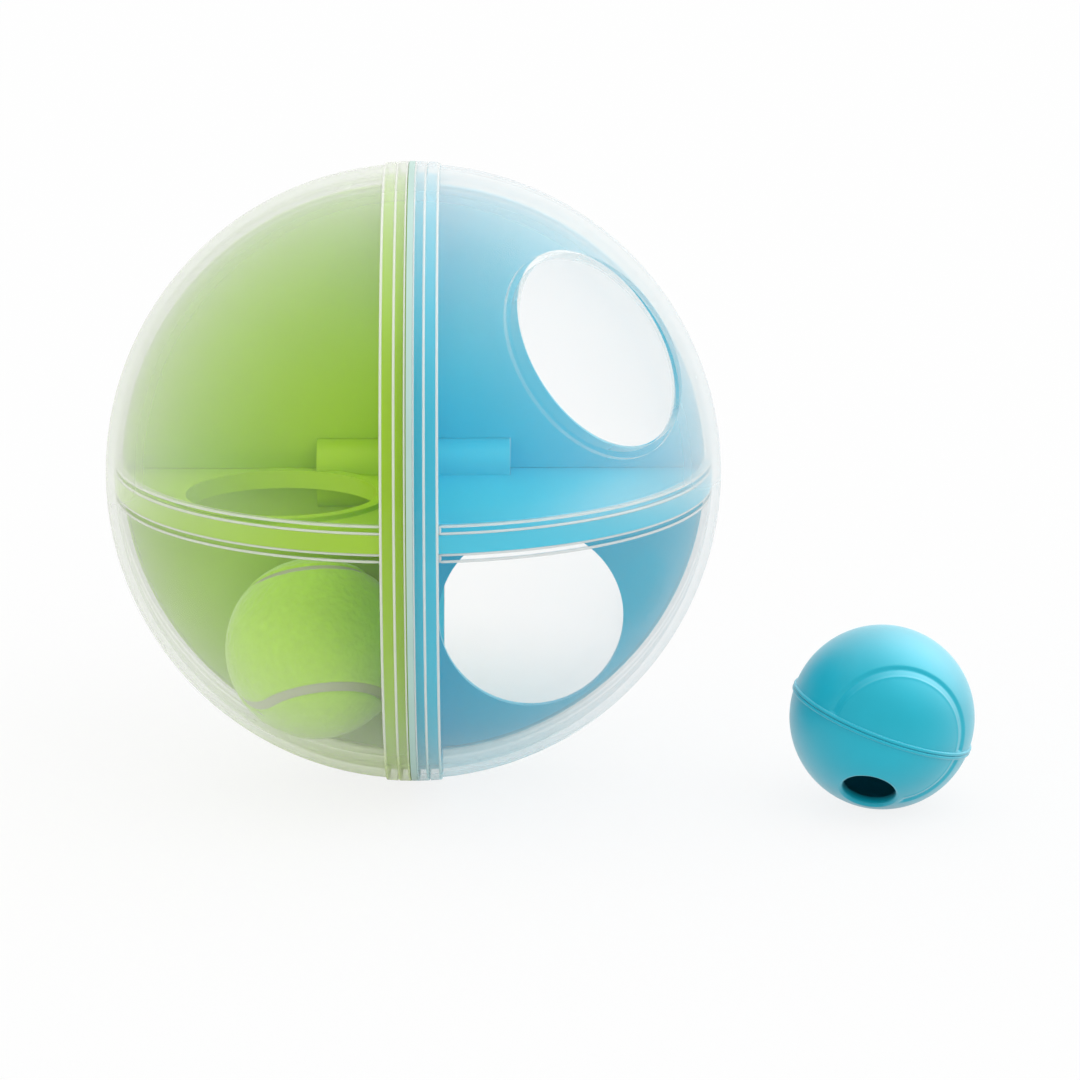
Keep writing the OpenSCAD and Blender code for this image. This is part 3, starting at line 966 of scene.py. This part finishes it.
class MAZEBALL_OT_stage(bpy.types.Operator):
    """Set the floor, the light and the camera"""

    bl_idname = "mazeball.stage"
    bl_label = "Stage"

    def execute(self, context):
        sizes = settings().stage
        context.scene.view_settings.view_transform = "Standard"
        self.white_world(context, sizes)
        self.pale_floor()
        self.soft_lamp(context, sizes)
        self.camera(context, sizes)
        return {"FINISHED"}

    def white_world(self, context, sizes):
        """A world that is white to the camera, a studio to glossy surfaces, and even light to all others."""
        world = bpy.data.worlds.new("white_studio")
        world.use_nodes = True
        # Sampled as a lamp, the world would not tell glossy rays from others
        world.cycles.sampling_method = "NONE"
        context.scene.world = world
        graph = Graph(world.node_tree)
        path = graph.node("ShaderNodeLightPath")
        along = graph.node("ShaderNodeTexCoord")["Generated"]
        parts = graph.parts(along)
        lit = sizes.sky_light + sizes.sky_rise * parts["Z"]
        behind = graph.rise(parts["Y"], FRONT_Y, BACK_Y)
        towards_box = graph.node(
            "ShaderNodeVectorMath", {"operation": "DOT_PRODUCT"}, {0: along, 1: BOX_TOWARDS})["Value"]
        box = towards_box.at_least(0.0) ** BOX_FOCUS
        mirrored = sizes.front_gloss + (1 - sizes.front_gloss) * behind + sizes.box_gloss * box
        seen = path["Is Camera Ray"].at_least(path["Is Transmission Ray"])
        unseen = lit + path["Is Glossy Ray"] * (mirrored - lit)
        strength = unseen + seen * (1 - unseen)
        sky = graph.node("ShaderNodeBackground", None, {"Color": WHITE, "Strength": strength})
        graph.node("ShaderNodeOutputWorld", None, {"Surface": sky["Background"]})

    def pale_floor(self):
        """A wide floor, nearly white where the camera sees it, in mirrors and through clear walls too."""
        corners = [(x * FLOOR_HALF, y * FLOOR_HALF, 0) for x, y in ((-1, -1), (1, -1), (1, 1), (-1, 1))]
        floor = mesh_object("floor", corners, [(0, 1, 2, 3)], smooth=False)
        made, graph = new_material("white_floor")
        path = graph.node("ShaderNodeLightPath")
        seen = (path["Is Camera Ray"] + path["Is Glossy Ray"] + path["Is Transmission Ray"]).at_most(1.0)
        ground = graph.shader("Diffuse", {"Color": FLOOR_GREY})
        white = graph.node("ShaderNodeEmission", None, {"Color": WHITE, "Strength": 1.0})["Emission"]
        end_material(graph, graph.mixed(FLOOR_WHITE * seen, ground, white))
        floor.data.materials.append(made)

    def soft_lamp(self, context, sizes):
        """A broad lamp that glossy surfaces don't mirror."""
        lamp = bpy.data.lights.new("key_lamp", "SUN")
        lamp.energy = sizes.key_light
        lamp.angle = LAMP_WIDTH
        holder = bpy.data.objects.new("key_lamp", lamp)
        holder.rotation_euler = LAMP_TRAVEL.to_track_quat("-Z", "Y").to_euler()
        holder.visible_glossy = False
        context.scene.collection.objects.link(holder)

    def camera(self, context, sizes):
        """The camera, which aims to the right of the ball's middle and below it."""
        level = math.cos(sizes.elevation)
        towards = Vector((
            math.sin(sizes.azimuth) * level, -math.cos(sizes.azimuth) * level, math.sin(sizes.elevation)))
        right = Vector((math.cos(sizes.azimuth), math.sin(sizes.azimuth), 0))
        up = towards.cross(right)
        place = BALL_MIDDLE + towards * sizes.distance
        aim = BALL_MIDDLE + right * sizes.aim_right - up * sizes.aim_down
        eye = bpy.data.cameras.new("camera")
        eye.lens = sizes.lens
        eye.sensor_width = SENSOR_WIDTH
        holder = bpy.data.objects.new("camera", eye)
        holder.location = place
        holder.rotation_euler = (aim - place).to_track_quat("-Z", "Y").to_euler()
        context.scene.collection.objects.link(holder)
        context.scene.camera = holder


class MAZEBALL_PT_sidebar(bpy.types.Panel):
    """The maze ball's settings and steps."""

    bl_idname = "MAZEBALL_PT_sidebar"
    bl_label = "Treat maze ball"
    bl_space_type = "VIEW_3D"
    bl_region_type = "UI"
    bl_category = "Maze ball"

    def draw(self, context):
        """Lists the settings and then the steps."""
        for group in ("lips", "tennis", "treat", "colours", "stage"):
            holder = getattr(settings(), group)
            for name in holder.__annotations__:
                self.layout.prop(holder, name)
        for operator in OPERATORS:
            self.layout.operator(operator.bl_idname)


OPERATORS = (
    MAZEBALL_OT_clear_shells, MAZEBALL_OT_chamber_walls, MAZEBALL_OT_seam, MAZEBALL_OT_painted_highlight_lips,
    MAZEBALL_OT_tennis_ball, MAZEBALL_OT_treat_ball, MAZEBALL_OT_stage)
GROUPS = (PaintedHighlightLipSizes, TennisSizes, TreatSizes, FinishColours, StageSizes, MazeBallSettings)
CLASSES = (*GROUPS, *OPERATORS, MAZEBALL_PT_sidebar)


def register():
    """Adds the classes and the settings to Blender."""
    for each in CLASSES:
        bpy.utils.register_class(each)
    bpy.types.Scene.maze_ball = PointerProperty(type=MazeBallSettings)


def unregister():
    """Takes the settings and the classes away again."""
    del bpy.types.Scene.maze_ball
    for each in reversed(CLASSES):
        bpy.utils.unregister_class(each)


def main():
    """Registers the add-on, dresses the ball and sets the stage."""
    register()
    bpy.ops.mazeball.clear_shells()
    bpy.ops.mazeball.chamber_walls()
    bpy.ops.mazeball.seam()
    bpy.ops.mazeball.lips()
    bpy.ops.mazeball.tennis_ball()
    bpy.ops.mazeball.treat_ball()
    bpy.ops.mazeball.stage()


if __name__ == "__main__":
    main()
